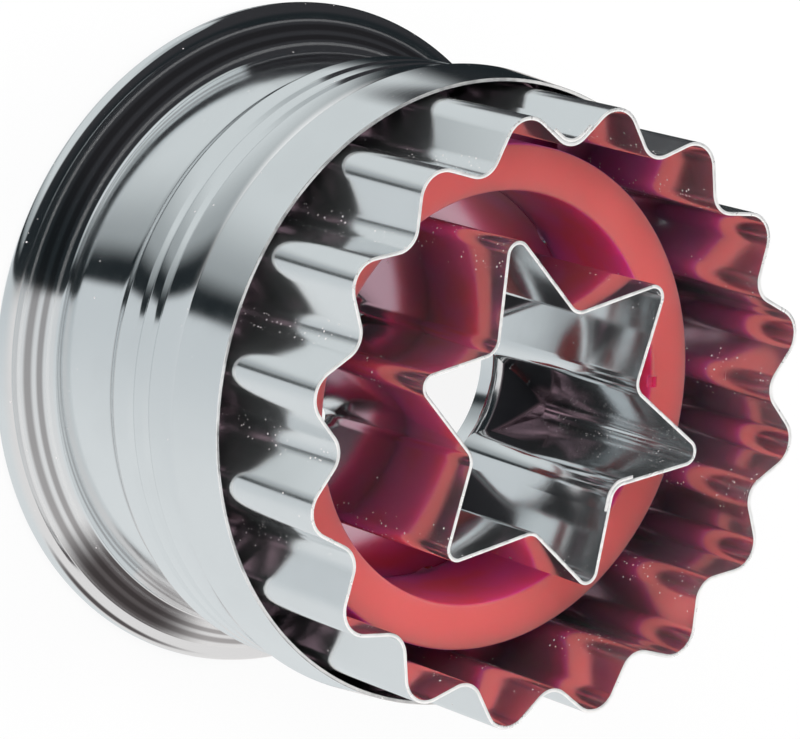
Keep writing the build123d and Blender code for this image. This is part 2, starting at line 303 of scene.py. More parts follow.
def spun_lines(place):
    """Lines that run round the axis, as on sheet that was drawn and turned."""
    x, y, z = split(place)
    radius = distance_out(place)
    around = place.graph.node("ShaderNodeCombineXYZ", None, {
        "X": x / radius * SPUN_RUN, "Y": y / radius * SPUN_RUN, "Z": z / SPUN_PITCH,
    })
    settings = {"noise_dimensions": "4D"}
    inputs = {"Vector": around, "W": radius / SPUN_PITCH, "Scale": 1.0, "Detail": 2.0}
    return place.graph.node("ShaderNodeTexNoise", settings, inputs)


def rolled_lines(place):
    """Lines that run along a strip, as the rollers leave them."""
    return noise(squeezed(place, ROLLED_SQUEEZE), ROLLED_PITCH, 3.0)


print(f"lines every {1000 * SPUN_PITCH:.2f} mm when spun, {1000 * ROLLED_PITCH:.2f} mm when rolled")

# %% [markdown]
# The polished sheet is a mirror that isn't quite clean: smears, a dull film, dust that gathers
# where fingers don't wipe it off, and long, low waves that bend a reflection. Its cut edges are
# paler and a little uneven, because the shears tore them. Rings of painted shade and painted
# highlight can be laid on it too. One function makes all such sheets, so that the sleeve, the
# flutes and the star look like one metal with different wear.

# %% Polished sheet
BRIGHT = (0.80, 0.82, 0.83, 1)
CUT_WHITE = (0.96, 0.96, 0.95, 1)
DUST_WHITE = (0.85, 0.80, 0.80, 1)
# Dark colour for real smears and for painted shade.
GRIME_AND_SHADE = (0.15, 0.13, 0.13, 1)
EDGE_BREAK = 0.05 * MM
CUT_FLAT = 0.02 * MM
BEAD_SIZE = 0.8 * MM
SMEAR_SIZE = 5 * MM
DUST_PATCH = 2.5 * MM
DUST_SPACING = 0.3 * MM
DUST_SIZE = 0.085 * MM
FLECK_SPACING = 1.9 * MM
FLECK_SIZE = 0.16 * MM
WAVE_SIZE = 7 * MM
WAVE_HEIGHT = 0.02 * MM
LINE_DEPTH = 0.0006 * MM


def no_painted_rings(place):
    """The shares of painted shade and painted highlight on a sheet that has neither."""
    return 0.0, 0.0


def polished_sheet(name, lines, edge, haze, film, clean, dusty, painted_rings=no_painted_rings):
    """Bright sheet with these lines, this haze and film, and a paler cut edge at one height.

    Dust gathers from the clean to the dusty distance from the axis, and the last argument gives the
    shares of painted shade and painted highlight at a place.
    """
    material, graph, place = new_material(name)
    beads = ramp(noise(place, BEAD_SIZE), 0.35, 0.6)
    cut = ramp(split(place)[2], edge - EDGE_BREAK, edge - CUT_FLAT) * (0.7 + beads * 0.3)
    fine = lines(place)
    smear = ramp(noise(place, SMEAR_SIZE, 4.0), 0.45, 0.75)
    rubbed = ramp(distance_out(place), clean, dusty)
    gathered = ramp(noise(place, DUST_PATCH), 0.42, 0.6)
    dust = specks(place, DUST_SPACING, DUST_SIZE, (0.015 + rubbed * 0.8) * gathered)
    grains = dust + specks(place, FLECK_SPACING, FLECK_SIZE, 0.05)
    waves = noise(place, WAVE_SIZE, 1.0) * WAVE_HEIGHT
    # Painted shade darkens the metal, and painted highlight pales it towards the cut edge's white.
    painted_shade, painted_highlight = painted_rings(place)
    soil_and_shade = painted_shade + smear * 0.02
    pale = cut + painted_highlight
    metal = blend(soil_and_shade, blend(pale, BRIGHT, CUT_WHITE), GRIME_AND_SHADE)
    roughened = haze + smear * 0.05 + fine * 0.06 + rubbed * 0.06
    end_material(graph, {
        "Base Color": blend(grains, metal, DUST_WHITE),
        "Metallic": (1.0 - film - pale * 0.4) * (1.0 - grains),
        "Roughness": roughened + pale * 0.15 + grains * 0.3,
        "Normal": bump(graph, waves + fine * LINE_DEPTH),
    })
    return material


print(f"polished sheet: edge broken by {1000 * EDGE_BREAK:.2f} mm")

# %% [markdown]
# The plastic is one moulding with two finishes: the face that presses on the dough is matt and so
# looks paler, while the walls are a deeper red. Their purple is painted shade, in patches on the
# bore and all over the outer wall. Light goes some way into the plastic before it comes out again.
# So the shader scatters it below the surface, and red goes furthest.

# %% Moulded plastic
FACE_RED = (0.77, 0.142, 0.137, 1)
WALL_RED = (0.92, 0.095, 0.17, 1)
# Purples that are painted shade on the walls.
SHADE_PURPLE = (0.88, 0.10, 0.36, 1)
OUTER_SHADE_PURPLE = (0.74, 0.13, 0.46, 1)
BORE_SIDE = 17.5 * MM
OUTER_SIDE = 19.0 * MM
FACE_FROM = 0.22 * MM
FACE_TO = 0.02 * MM
MOTTLE_SIZE = 6 * MM
MOTTLE_HEIGHT = 0.01 * MM
GRAIN_SIZE = 0.12 * MM
GRAIN_HEIGHT = 0.001 * MM
CRUMB_SPACING = 1.7 * MM
CRUMB_SIZE = 0.09 * MM
SCATTER = (1.0, 0.3, 0.45)
SCATTER_DEPTH = 6 * MM


def moulded_plastic(name, face_height):
    """Deep red with a paler matt face at one height, and purple painted shade on the walls."""
    material, graph, place = new_material(name)
    face = ramp(split(place)[2], face_height - FACE_FROM, face_height - FACE_TO)
    mottle = noise(place, MOTTLE_SIZE, 3.0)
    grain = noise(place, GRAIN_SIZE)
    crumbs = specks(place, CRUMB_SPACING, CRUMB_SIZE, 0.12)
    # Painted shade: purple in random patches on the bore, and all over the outer wall.
    bore_red_and_shade = blend(ramp(mottle, 0.35, 0.65), SHADE_PURPLE, WALL_RED)
    wall_red_and_shade = blend(ramp(distance_out(place), BORE_SIDE, OUTER_SIDE), bore_red_and_shade, OUTER_SHADE_PURPLE)
    end_material(graph, {
        "Base Color": blend(crumbs * 0.6, blend(face, wall_red_and_shade, FACE_RED), DUST_WHITE),
        "Roughness": 0.34 + face * 0.16 + mottle * 0.08 + crumbs * 0.2,
        "Normal": bump(graph, grain * GRAIN_HEIGHT * (0.2 + face) + mottle * MOTTLE_HEIGHT),
        "Specular IOR Level": 0.18,
        "Subsurface Weight": 1.0,
        "Subsurface Radius": SCATTER,
        "Subsurface Scale": SCATTER_DEPTH,
    })
    return material


print(f"plastic: light goes {1000 * SCATTER_DEPTH:.0f} mm deep")

# %% [markdown]
# The wire is drawn through a die, which leaves dark and light lines, and the screws are plated with
# zinc, whose colour wanders between yellow and blue. Both are plain metal, so two colours, a
# roughness and a faint grain are enough.

# %% Wire and plating
DARK_WIRE = (0.40, 0.41, 0.43, 1)
LIGHT_WIRE = (0.66, 0.67, 0.69, 1)
BLUE_ZINC = (0.70, 0.72, 0.76, 1)
YELLOW_ZINC = (0.76, 0.74, 0.66, 1)
DIE_SQUEEZE = (1.0, 1.0, 3.0)
DIE_PITCH = 0.3 * MM
CAST_SIZE = 1.5 * MM
PLATING_GRAIN = 0.15 * MM
METAL_GRAIN = 0.002 * MM


def drawn_wire(name):
    """Hard grey wire with die lines."""
    material, graph, place = new_material(name)
    lines = noise(squeezed(place, DIE_SQUEEZE), DIE_PITCH, 3.0)
    end_material(graph, {
        "Base Color": blend(lines, DARK_WIRE, LIGHT_WIRE),
        "Metallic": 1.0,
        "Roughness": 0.2 + lines * 0.15,
        "Normal": bump(graph, lines * METAL_GRAIN),
    })
    return material


def zinc_plate(name):
    """Bright plating with a faint yellow and blue cast."""
    material, graph, place = new_material(name)
    cast = ramp(noise(place, CAST_SIZE), 0.35, 0.65)
    grain = noise(place, PLATING_GRAIN)
    end_material(graph, {
        "Base Color": blend(cast, BLUE_ZINC, YELLOW_ZINC),
        "Metallic": 1.0,
        "Roughness": 0.22 + grain * 0.14,
        "Normal": bump(graph, grain * METAL_GRAIN),
    })
    return material


print("wire and plating written")

# %% [markdown]
# ## Plain meshes first
# A drawn sheet is easiest to describe by its middle line: straight runs with rounded corners. The
# same line, set off by half a sheet to both sides, is the closed section that gets turned round Z.
# A Solidify modifier could thicken one surface too, but it wouldn't break the cut edges.

# %% Sections of bent sheet
ARC_STEP = math.radians(9)


def rounded(corners):
    """Points along straight runs whose corners, given as (x, y, radius), are rounded."""
    points = [Vector(corners[0][:2])]
    for before, (x, y, radius), after in zip(corners, corners[1:], corners[2:]):
        corner = Vector((x, y))
        into = (corner - Vector(before[:2])).normalized()
        out = (Vector(after[:2]) - corner).normalized()
        turn = math.atan2(into.cross(out), into.dot(out))
        start = corner - into * radius * math.tan(abs(turn) / 2)
        centre = start + Vector((-into.y, into.x)) * math.copysign(radius, turn)
        count = max(2, math.ceil(abs(turn) / ARC_STEP))
        for i in range(count + 1):
            points.append(centre + Matrix.Rotation(turn * i / count, 2) @ (start - centre))
    points.append(Vector(corners[-1][:2]))
    return points


def sheet_section(corners, sheet):
    """The closed outline of a bent sheet, its cut ends slightly broken."""
    middle = rounded(corners)
    before = [middle[0]] + middle[:-1]
    after = middle[1:] + [middle[-1]]
    ways = [(b - a).normalized() for a, b in zip(before, after)]
    sides = [Vector((-way.y, way.x)) for way in ways]
    middle[0] += ways[0] * EDGE_BREAK
    middle[-1] -= ways[-1] * EDGE_BREAK
    left = [p + side * sheet / 2 for p, side in zip(middle, sides)]
    right = [p - side * sheet / 2 for p, side in zip(middle, sides)]
    narrow = sheet / 2 - EDGE_BREAK
    far = middle[-1] + ways[-1] * EDGE_BREAK
    near = middle[0] - ways[0] * EDGE_BREAK
    far_end = [far + sides[-1] * narrow, far - sides[-1] * narrow]
    near_end = [near - sides[0] * narrow, near + sides[0] * narrow]
    return left + far_end + right[::-1] + near_end


print(f"sections: arcs in steps of {math.degrees(ARC_STEP):.0f} degrees")

# %% [markdown]
# A section that is copied round Z, with a strip of faces from each copy to the next, is a closed
# shell. Smooth shading, with edges kept sharp at real corners, lets reflections run on unbroken.

# %% Meshes turned round Z
SHARP_ANGLE = math.radians(35)
SAME_PLACE = 1e-7


def dressed(name, mesh):
    """A new object round a mesh whose faces are turned outwards and shaded smooth."""
    form = bmesh.new()
    form.from_mesh(mesh)
    bmesh.ops.remove_doubles(form, verts=form.verts, dist=SAME_PLACE)
    bmesh.ops.recalc_face_normals(form, faces=form.faces)
    form.to_mesh(mesh)
    form.free()
    mesh.shade_smooth()
    mesh.set_sharp_from_angle(angle=SHARP_ANGLE)
    made = bpy.data.objects.new(name, mesh)
    bpy.context.scene.collection.objects.link(made)
    return made


def spun_mesh(name, section, segments):
    """A closed section, in radius and height, turned once round Z."""
    points = []
    for i in range(segments):
        angle = 2 * math.pi * i / segments
        points += [(p.x * math.cos(angle), p.x * math.sin(angle), p.y) for p in section]
    count = len(section)
    faces = []
    for i in range(segments):
        here, there = i * count, (i + 1) % segments * count
        for j in range(count):
            k = (j + 1) % count
            faces.append((here + j, here + k, there + k, there + j))
    mesh = bpy.data.meshes.new(name)
    mesh.from_pydata(points, [], faces)
    return mesh


print(f"edges stay sharp above {math.degrees(SHARP_ANGLE):.0f} degrees")

# %% [markdown]
# ## Flanged sleeve
# The handle is one drawn tube. Its back edge flares out into a lip that the fingers hook on, rolled
# over and back under itself. The drum steps out to a land with two fine rolled grooves, swells to a
# crease, and ends in a plain band with a raw edge. Written as corners with radii, the whole profile
# is a short list of points, and each of them can be set against the photograph by itself.

# %% Flanged sleeve
LAND = FLUTE_CREST + 0.1 * MM + HALF
DRUM = LAND - 0.8 * MM
CREASE = LAND + 0.6 * MM
BAND_EDGE = LAND + 0.2 * MM
UPPER_GROOVE = PLATE_FACE - 1.2 * MM
LOWER_GROOVE = UPPER_GROOVE - 2.0 * MM
LAND_FOOT = LOWER_GROOVE - 2.3 * MM
CREASE_HEIGHT = UPPER_GROOVE + 4.3 * MM
BAND_HEIGHT = CREASE_HEIGHT + 5.1 * MM
SHOULDER_ROUND = 12.6 * MM
SHOULDER_BEND = UPPER_GROOVE + 2.42 * MM
STEP_TURN = math.radians(43)
STEP_HOLLOW = 3.0 * MM
STEP_EDGE = 0.3 * MM
GROOVE_HALF = 0.45 * MM
GROOVE_DEPTH = 0.25 * MM
GROOVE_ROUND = 0.2 * MM
CREASE_ROUND = 0.25 * MM
LIP = FLANGE_RADIUS - HALF
LIP_RISE = 1.6 * MM
LIP_WIDTH = 1.1 * MM
CURL_WIDTH = 1.25 * MM
FLARE_KNEE = 3.75 * MM
FLARE_ROUND = 0.6 * MM
FLARE_CREASE = 0.25 * MM
SPIN_SEGMENTS = 320


def groove_corners(height):
    """The three corners of a rolled groove at one height."""
    return [
        (LAND, height + GROOVE_HALF, GROOVE_ROUND),
        (LAND - GROOVE_DEPTH, height, GROOVE_ROUND),
        (LAND, height - GROOVE_HALF, GROOVE_ROUND),
    ]


def sleeve_corners():
    """The profile from the raw edge of the band back to the curled lip."""
    step_foot = LAND_FOOT - (LAND - DRUM) / math.tan(STEP_TURN)
    return [
        (BAND_EDGE, BAND_HEIGHT, 0),
        (CREASE, CREASE_HEIGHT, CREASE_ROUND),
        (LAND, SHOULDER_BEND, SHOULDER_ROUND),
        *groove_corners(UPPER_GROOVE),
        *groove_corners(LOWER_GROOVE),
        (LAND, LAND_FOOT, STEP_EDGE),
        (DRUM, step_foot, STEP_HOLLOW),
        (DRUM, FLARE_KNEE, FLARE_ROUND),
        (LIP - LIP_WIDTH, HALF + LIP_RISE, FLARE_CREASE),
        (LIP, HALF + LIP_RISE, LIP_RISE / 2),
        (LIP, HALF, LIP_RISE / 2),
        (LIP - CURL_WIDTH, HALF, 0),
    ]


sleeve_section = sheet_section(sleeve_corners(), SHEET)
sleeve = dressed("sleeve", spun_mesh("sleeve", sleeve_section, SPIN_SEGMENTS))
print("sleeve:", len(sleeve.data.polygons), "faces")

# %% [markdown]
# The flange gets painted rings: painted shade in the hollow of the flare, and painted highlights
# along its crease and its knee. The rings are bands of distance from the axis, below the knee only.

# %% Painted shade and highlights on the flange
# Radii of the painted shade rings and of the painted highlight rings.
PAINTED_SHADE_RINGS = ((24.9 * MM, 25.6 * MM), (24.25 * MM, 24.8 * MM))
PAINTED_HIGHLIGHT_RINGS = ((25.64 * MM, 25.86 * MM), (23.9 * MM, 24.2 * MM))
PAINTED_RINGS_FADE = 0.3 * MM


def soft_ring(out, inner, outer):
    """A soft ring between two distances from the axis."""
    middle, half = (inner + outer) / 2, (outer - inner) / 2
    return ramp(out, inner, middle - half / 3) * ramp(out, outer, middle + half / 3)


def flange_shade_and_highlights(place):
    """Painted shade in two rings on the flare, and painted highlight at its crease and its knee."""
    out, height = distance_out(place), split(place)[2]
    low = ramp(height, FLARE_KNEE, FLARE_KNEE - PAINTED_RINGS_FADE)
    painted_shade = soft_ring(out, *PAINTED_SHADE_RINGS[0]) + soft_ring(out, *PAINTED_SHADE_RINGS[1])
    painted_highlight = soft_ring(out, *PAINTED_HIGHLIGHT_RINGS[0]) + soft_ring(out, *PAINTED_HIGHLIGHT_RINGS[1])
    return painted_shade * low * 0.6, painted_highlight * low * 0.25


# The sleeve's metal carries the flange's painted shade and painted highlights.
sleeve_metal = polished_sheet(
    "sleeve_metal", spun_lines, BAND_HEIGHT, haze=0.05, film=0.003,
    clean=26.0 * MM, dusty=30.0 * MM, painted_rings=flange_shade_and_highlights,
)
sleeve.data.materials.append(sleeve_metal)
print("sleeve finish:", len(sleeve_metal.node_tree.nodes), "nodes")

# %% [markdown]
# ## Bent strips: the flutes and the star
# Both cutters are thin strips that were bent to and fro round pegs into a closed wave. The pegs are
# all that has to be written down: how far out a bend reaches, its bearing and its radius. A few
# lines of Python lay the sharp zigzag through the middle of the sheet, as a loop of edges that
# carries each corner's radius, and beside it a short chain for the lapped seam in one corner.

# %% Zigzags from pegs
LAP_FLANK = 1.0 * MM


def spot(reach, degrees):
    """A place in plan, from its distance to the axis and its bearing."""
    return Vector((math.cos(math.radians(degrees)), math.sin(math.radians(degrees)))) * reach


def peg(reach, degrees, bend):
    """A peg that the strip goes round: inside a point or, if its bend is negative, outside."""
    return spot(reach - bend, degrees), bend


def flank(here, there):
    """The outward direction of the straight flank between two pegs."""
    (start, start_bend), (end, end_bend) = here, there
    along = (end - start).normalized()
    lean = (start_bend - end_bend) / (end - start).length
    return along * lean + Vector((along.y, -along.x)) * math.sqrt(1 - lean * lean)


def corner(place, before, after, inset):
    """Where the flanks beside a peg meet, set in from the outer face, if the bend were sharp."""
    centre, bend = place
    middle = (before + after).normalized()
    return centre + middle * (bend - inset) / middle.dot(before)


def zigzag(name, pegs, lapped, layer):
    """The strip's middle line as a loop of edges, and its overlapping end so many layers in."""
    ways = [flank(here, there) for here, there in zip(pegs, pegs[1:] + pegs[:1])]
    points = [corner(place, ways[i - 1], ways[i], HALF) for i, place in enumerate(pegs)]
    bends = [abs(bend - HALF) for _, bend in pegs]
    edges = [(i, (i + 1) % len(pegs)) for i in range(len(pegs))]
    centre, bend = pegs[lapped]
    before, after = ways[lapped - 1], ways[lapped]
    inset = HALF + layer * SHEET
    start = centre + before * (bend - inset) + Vector((before.y, -before.x)) * LAP_FLANK
    end = centre + after * (bend - inset) - Vector((after.y, -after.x)) * LAP_FLANK
    edges += [(len(points), len(points) + 1), (len(points) + 1, len(points) + 2)]
    points += [start, corner(pegs[lapped], before, after, inset), end]
    bends += [0.0, abs(bend - inset), 0.0]
    mesh = bpy.data.meshes.new(name)
    mesh.from_pydata([(*point, 0.0) for point in points], edges, [])
    mesh.attributes.new("bend", "FLOAT", "POINT").data.foreach_set("value", bends)
    return mesh


print(f"zigzags: sharp corners that carry their bends, {1000 * LAP_FLANK:.0f} mm of lap")

# %% [markdown]
# Geometry Nodes grow a piece from such a line. A tree gets named inputs, so that its sizes are set
# from outside, and ends in plain faces with their material. It runs once on a short-lived object,
# and what comes out is kept as a plain mesh.

# %% Helpers for geometry trees
def new_tree(name, sockets):
    """A geometry tree with named inputs and one geometry output, and a Value for each input."""
    tree = bpy.data.node_groups.new(name, "GeometryNodeTree")
    for label, (kind, default) in sockets.items():
        socket = tree.interface.new_socket(label, in_out="INPUT", socket_type=kind)
        if default is not None:
            socket.default_value = default
    tree.interface.new_socket("Geometry", in_out="OUTPUT", socket_type="NodeSocketGeometry")
    graph = Graph(tree)
    given = graph.node("NodeGroupInput")
    return graph, {label: given.out(label) for label in sockets}


def end_tree(graph, geometry, material):
    """Ends a tree in plain faces that carry their material."""
    plain = graph.node("GeometryNodeRealizeInstances", None, {"Geometry": geometry})
    inputs = {"Geometry": plain, "Material": material}
    painted = graph.node("GeometryNodeSetMaterial", None, inputs)
    graph.node("NodeGroupOutput", None, {"Geometry": painted})
    return graph.tree


def grown(tree, values, start):
    """The plain mesh that a geometry tree makes of a mesh, with the given inputs."""
    holder = bpy.data.objects.new("holder", start)
    bpy.context.scene.collection.objects.link(holder)
    modifier = holder.modifiers.new("tree", "NODES")
    modifier.node_group = tree
    for item in tree.interface.items_tree:
        if item.in_out == "INPUT" and item.name in values:
            modifier[item.identifier] = values[item.name]
    bpy.context.view_layer.update()
    result = holder.evaluated_get(bpy.context.evaluated_depsgraph_get())
    mesh = bpy.data.meshes.new_from_object(result)
    holder.modifiers.remove(modifier)
    bpy.data.objects.remove(holder)
    return mesh


print("geometry trees: named inputs, plain meshes out")

# %% [markdown]
# One tree bends both cutters: Fillet Curve rounds every corner by its own radius, and a thin
# rectangle that is run along the curve gives the strip its height and thickness. The rectangle's
# own corners are filleted too, which is the small break on a cut edge.

# %% The bent strip tree
STRIP_INPUTS = {
    "Zigzag": ("NodeSocketGeometry", None),
    "Foot": ("NodeSocketFloat", 0.0),
    "Edge": ("NodeSocketFloat", 0.01),
    "Sheet": ("NodeSocketFloat", 0.0003),
    "Edge Break": ("NodeSocketFloat", 0.00005),
    "Material": ("NodeSocketMaterial", None),
}
BEND_STEPS = 12
BREAK_STEPS = 2


def strip_tree():
    """The tree that turns a zigzag into a standing strip with rounded bends."""
    graph, given = new_tree("bent strip", STRIP_INPUTS)
    line = graph.node("GeometryNodeMeshToCurve", None, {"Mesh": given["Zigzag"]})
    settings = {"data_type": "FLOAT"}
    radius = graph.node("GeometryNodeInputNamedAttribute", settings, {"Name": "bend"})
    bent = graph.node("GeometryNodeFilletCurve", {"mode": "POLY"}, {
        "Curve": line, "Count": BEND_STEPS, "Radius": radius,
    })
    middle = (given["Foot"] + given["Edge"]) * 0.5
    raised = graph.node("GeometryNodeTransform", None, {
        "Geometry": bent,
        "Translation": graph.node("ShaderNodeCombineXYZ", None, {"Z": middle}),
    })
    upright = graph.node("GeometryNodeSetCurveNormal", {"mode": "Z_UP"}, {"Curve": raised})
    rectangle = graph.node("GeometryNodeCurvePrimitiveQuadrilateral", None, {
        "Width": given["Sheet"], "Height": given["Edge"] - given["Foot"],
    })
    section = graph.node("GeometryNodeFilletCurve", {"mode": "POLY"}, {
        "Curve": rectangle, "Count": BREAK_STEPS, "Radius": given["Edge Break"],
    })
    strip = graph.node("GeometryNodeCurveToMesh", None, {
        "Curve": upright, "Profile Curve": section, "Fill Caps": True,
    })
    return end_tree(graph, strip, given["Material"])


bent_strip = strip_tree()


def standing_strip(foot, edge, metal, line):
    """The strip that the tree bends along a line, between two heights."""
    return grown(bent_strip, {
        "Foot": foot, "Edge": edge, "Sheet": SHEET, "Edge Break": EDGE_BREAK, "Material": metal,
    }, line)


print("bent strip tree:", len(bent_strip.nodes), "nodes")

# %% [markdown]
# The outer cutter is regular: sixteen crests and valleys, all alike. Its strip ends overlap outside
# one valley, at the back of the tool as it lies in the photograph.

# %% Fluted cutter
FLUTES = 16
FLUTE_STEP = 360 / FLUTES
FLUTE_VALLEY = FLUTE_CREST - 2.7 * MM
FLUTE_CREST_ROUND = 2.3 * MM
FLUTE_VALLEY_ROUND = 1.7 * MM
FLUTE_LAP = 31
OUTSIDE = -1


def in_mm(lengths):
    """Lengths in millimetres, for printing."""
    return [round(length / MM, 2) for length in lengths]


flute_pegs = []
for number in range(FLUTES):
    flute_pegs.append(peg(FLUTE_CREST, FLUTE_STEP * number, FLUTE_CREST_ROUND))
    flute_pegs.append(peg(FLUTE_VALLEY, FLUTE_STEP * (number + 0.5), -FLUTE_VALLEY_ROUND))
flute_metal = polished_sheet(
    "flute_metal", rolled_lines, FLUTE_EDGE, haze=0.13, film=0.04,
    clean=22.2 * MM, dusty=21.2 * MM,
)
flute_line = zigzag("flute line", flute_pegs, FLUTE_LAP, OUTSIDE)
flute_foot = foot_of("fluted_cutter").z
flutes = dressed("flutes", standing_strip(flute_foot, FLUTE_EDGE, flute_metal, flute_line))
print("flutes:", len(flutes.data.polygons), "faces, size", in_mm(flutes.dimensions))

# %% [markdown]
# Three tabs at the star's foot go through the carrier plate and are folded over behind it. They
# are little bent sheets, so they reuse the section that made the sleeve, pushed sideways instead of
# turned. Each stands in the middle of a flank, whose place follows from its two pegs.

# %% Tabs
TAB_WIDTH = 2.6 * MM
TAB_REACH = 1.8 * MM
TAB_BEND = 0.2 * MM


def middle_of_flank(pegs, index):
    """A place in the middle of a flank's sheet, and the flank's outward direction."""
    (start, start_bend), (end, end_bend) = pegs[index], pegs[index + 1]
    outward = flank(pegs[index], pegs[index + 1])
    return (start + end + outward * (start_bend + end_bend - SHEET)) / 2, outward


def tab_mesh(place, outward):
    """A tab that comes down through the plate and is folded outwards behind it."""
    fold = PLATE_BACK - HALF
    section = sheet_section([
        (0, PLATE_FACE + SHEET, 0), (0, fold, TAB_BEND), (TAB_REACH - HALF, fold, 0),
    ], SHEET)
    along = Vector((-outward.y, outward.x)) * TAB_WIDTH / 2
    points = []
    for side in (place - along, place + along):
        points += [(*(side + outward * p.x), p.y) for p in section]
    count = len(section)
    sides = [(i, (i + 1) % count, (i + 1) % count + count, i + count) for i in range(count)]
    mesh = bpy.data.meshes.new("tab")
    mesh.from_pydata(points, [], sides + [tuple(range(count)), tuple(range(count, 2 * count))])
    return mesh


def joined(*meshes):
    """The first mesh with the others added to it."""
    form = bmesh.new()
    for mesh in meshes:
        form.from_mesh(mesh)
    form.to_mesh(meshes[0])
    form.free()
    return meshes[0]


print(f"tabs {1000 * TAB_WIDTH:.1f} mm wide")

# %% [markdown]
# The star was bent by hand, so its points differ by up to 1.4 mm and a few degrees. A mirror shows
# such small differences clearly, because each flank reflects another part of the room. So every
# bend has its own row: the reach and bearing of a point, and those of the corner after it.

# %% Star cutter
STAR_BENDS = (
    (14.8, 7, 8.8, 35),
    (13.6, 61, 8.6, 93),
    (13.8, 123, 9.1, 156),
    (14.0, 185, 8.9, 213),
    (14.9, 241, 8.3, 270),
    (13.5, 301, 8.4, 336),
)
STAR_POINT_ROUND = 1.1 * MM
STAR_CORNER_ROUND = 1.2 * MM
STAR_LAP = 7
INSIDE = 1
TAB_FLANKS = (0, 4, 8)

star_pegs = []
for point_reach, point_turn, corner_reach, corner_turn in STAR_BENDS:
    star_pegs.append(peg(point_reach * MM, point_turn, STAR_POINT_ROUND))
    star_pegs.append(peg(corner_reach * MM, corner_turn, -STAR_CORNER_ROUND))
star_metal = polished_sheet(
    "star_metal", rolled_lines, STAR_EDGE, haze=0.08, film=0.035,
    clean=12.0 * MM, dusty=13.4 * MM,
)
star_line = zigzag("star line", star_pegs, STAR_LAP, INSIDE)
star_strip = standing_strip(PLATE_FACE, STAR_EDGE, star_metal, star_line)
tab_places = [middle_of_flank(star_pegs, index) for index in TAB_FLANKS]
star = dressed("star", joined(star_strip, *[tab_mesh(*place) for place in tab_places]))
print("star:", len(star.data.polygons), "faces, size", in_mm(star.dimensions))

# %% [markdown]
# ## Carrier plate
# Holes, slits and a notch are cut by a Boolean modifier, which takes all the cutting forms in one
# mesh. Drawing them into the outline by hand would be exact too, but a Boolean keeps each opening
# a line of its own: a pin or a block, put where the hole is.

# %% Cutting helpers
PIN_SEGMENTS = 48


def finished(name, form):
    """The plain mesh of a form that was being edited."""
    mesh = bpy.data.meshes.new(name)
    form.to_mesh(mesh)
    form.free()
    return mesh


def block_mesh(size, matrix):
    """A box of this size, put in place."""
    form = bmesh.new()
    scale = Matrix.Diagonal((*size, 1))
    bmesh.ops.create_cube(form, size=1.0, matrix=matrix @ scale)
    return finished("block", form)


def pin_mesh(place, radius, low, high):
    """An upright pin from one height to another."""
    form = bmesh.new()
    bmesh.ops.create_cone(
        form, cap_ends=True, segments=PIN_SEGMENTS, radius1=radius, radius2=radius,
        depth=high - low, matrix=Matrix.Translation((*place, (low + high) / 2)),
    )
    return finished("pin", form)


def carved(mesh, *cutters):
    """A mesh with the cutters' forms taken out of it."""
    body = bpy.data.objects.new("body", mesh)
    tool = bpy.data.objects.new("tool", joined(*cutters))
    for holder in (body, tool):
        bpy.context.scene.collection.objects.link(holder)
    boolean = body.modifiers.new("carve", "BOOLEAN")
    boolean.object = tool
    boolean.solver = "EXACT"
    bpy.context.view_layer.update()
    result = bpy.data.meshes.new_from_object(
        body.evaluated_get(bpy.context.evaluated_depsgraph_get())
    )
    for holder in (body, tool):
        bpy.data.objects.remove(holder)
    return result


print("cutting helpers: blocks, pins and one Boolean for all of them")

# %% [markdown]
# The star stands on a pressed pan that hangs on the sleeve's rolled grooves. Its middle is drawn
# down into a short collar, so that a finger can push the star of dough out. The pan is turned like
# the sleeve, and then gets round holes for the posts and slits for the tabs.

# %% Carrier plate
POSTS = 3
POST_TURN = 56
POST_RING = 18.0 * MM
POST_RADIUS = 1.7 * MM
POST_HOLE = POST_RADIUS + 0.3 * MM
COLLAR = 8.8 * MM + HALF
COLLAR_FOOT = PLATE_FACE - 2.1 * MM
COLLAR_BEND = 0.6 * MM
RIM_BEND = 0.4 * MM
SLIT_ROOM = 0.02 * MM

pan = dressed("pan", spun_mesh("plate", sheet_section([
    (COLLAR, COLLAR_FOOT, 0),
    (COLLAR, PLATE_FACE - HALF, COLLAR_BEND),
    (RIM_RADIUS - HALF, PLATE_FACE - HALF, RIM_BEND),
    (RIM_RADIUS - HALF, RIM_FOOT, 0),
], SHEET), SPIN_SEGMENTS))
post_places = [spot(POST_RING, POST_TURN + 360 * i / POSTS) for i in range(POSTS)]
openings = [
    pin_mesh(place, POST_HOLE, PLATE_BACK - SHEET, PLATE_FACE + SHEET) for place in post_places
]
slit_size = (SHEET + SLIT_ROOM, TAB_WIDTH + SLIT_ROOM, 3 * SHEET)
for place, outward in tab_places:
    turn = Matrix.Rotation(math.atan2(outward.y, outward.x), 4, "Z")
    lift = Matrix.Translation((*place, PLATE_FACE - HALF))
    openings.append(block_mesh(slit_size, lift @ turn))
plate = dressed("plate", carved(pan.data, *openings))
bpy.data.objects.remove(pan)
print("plate:", len(plate.data.polygons), "faces,", len(openings), "openings")

# %% [markdown]
# In the photograph the plate mirrors the plastic outside the star and is dark inside it, so it gets
# painted shade that changes along the star's foot: dark and dull inside, a dim pink tint outside.
# That outline is a sum on bearing and distance: 1 over the distance runs evenly from a point to a
# corner and back, which makes nearly straight flanks.

# %% Plate finish and painted shade
# A dim pink tint, which is painted shade on the front outside the star.
PINK_SHADE = (0.66, 0.42, 0.50, 1)
# Dark tones of the painted shade inside the star.
PAINTED_SHADE_DARK = (0.020, 0.020, 0.026, 1)
PAINTED_SHADE_LIGHT = (0.050, 0.050, 0.058, 1)
COLLAR_FADE = 0.3 * MM
FRONT_FROM = 0.2 * MM
FRONT_TO = 0.1 * MM
PAINTED_SHADE_PATCH = 3 * MM
PRESS_LINES = 0.0003 * MM


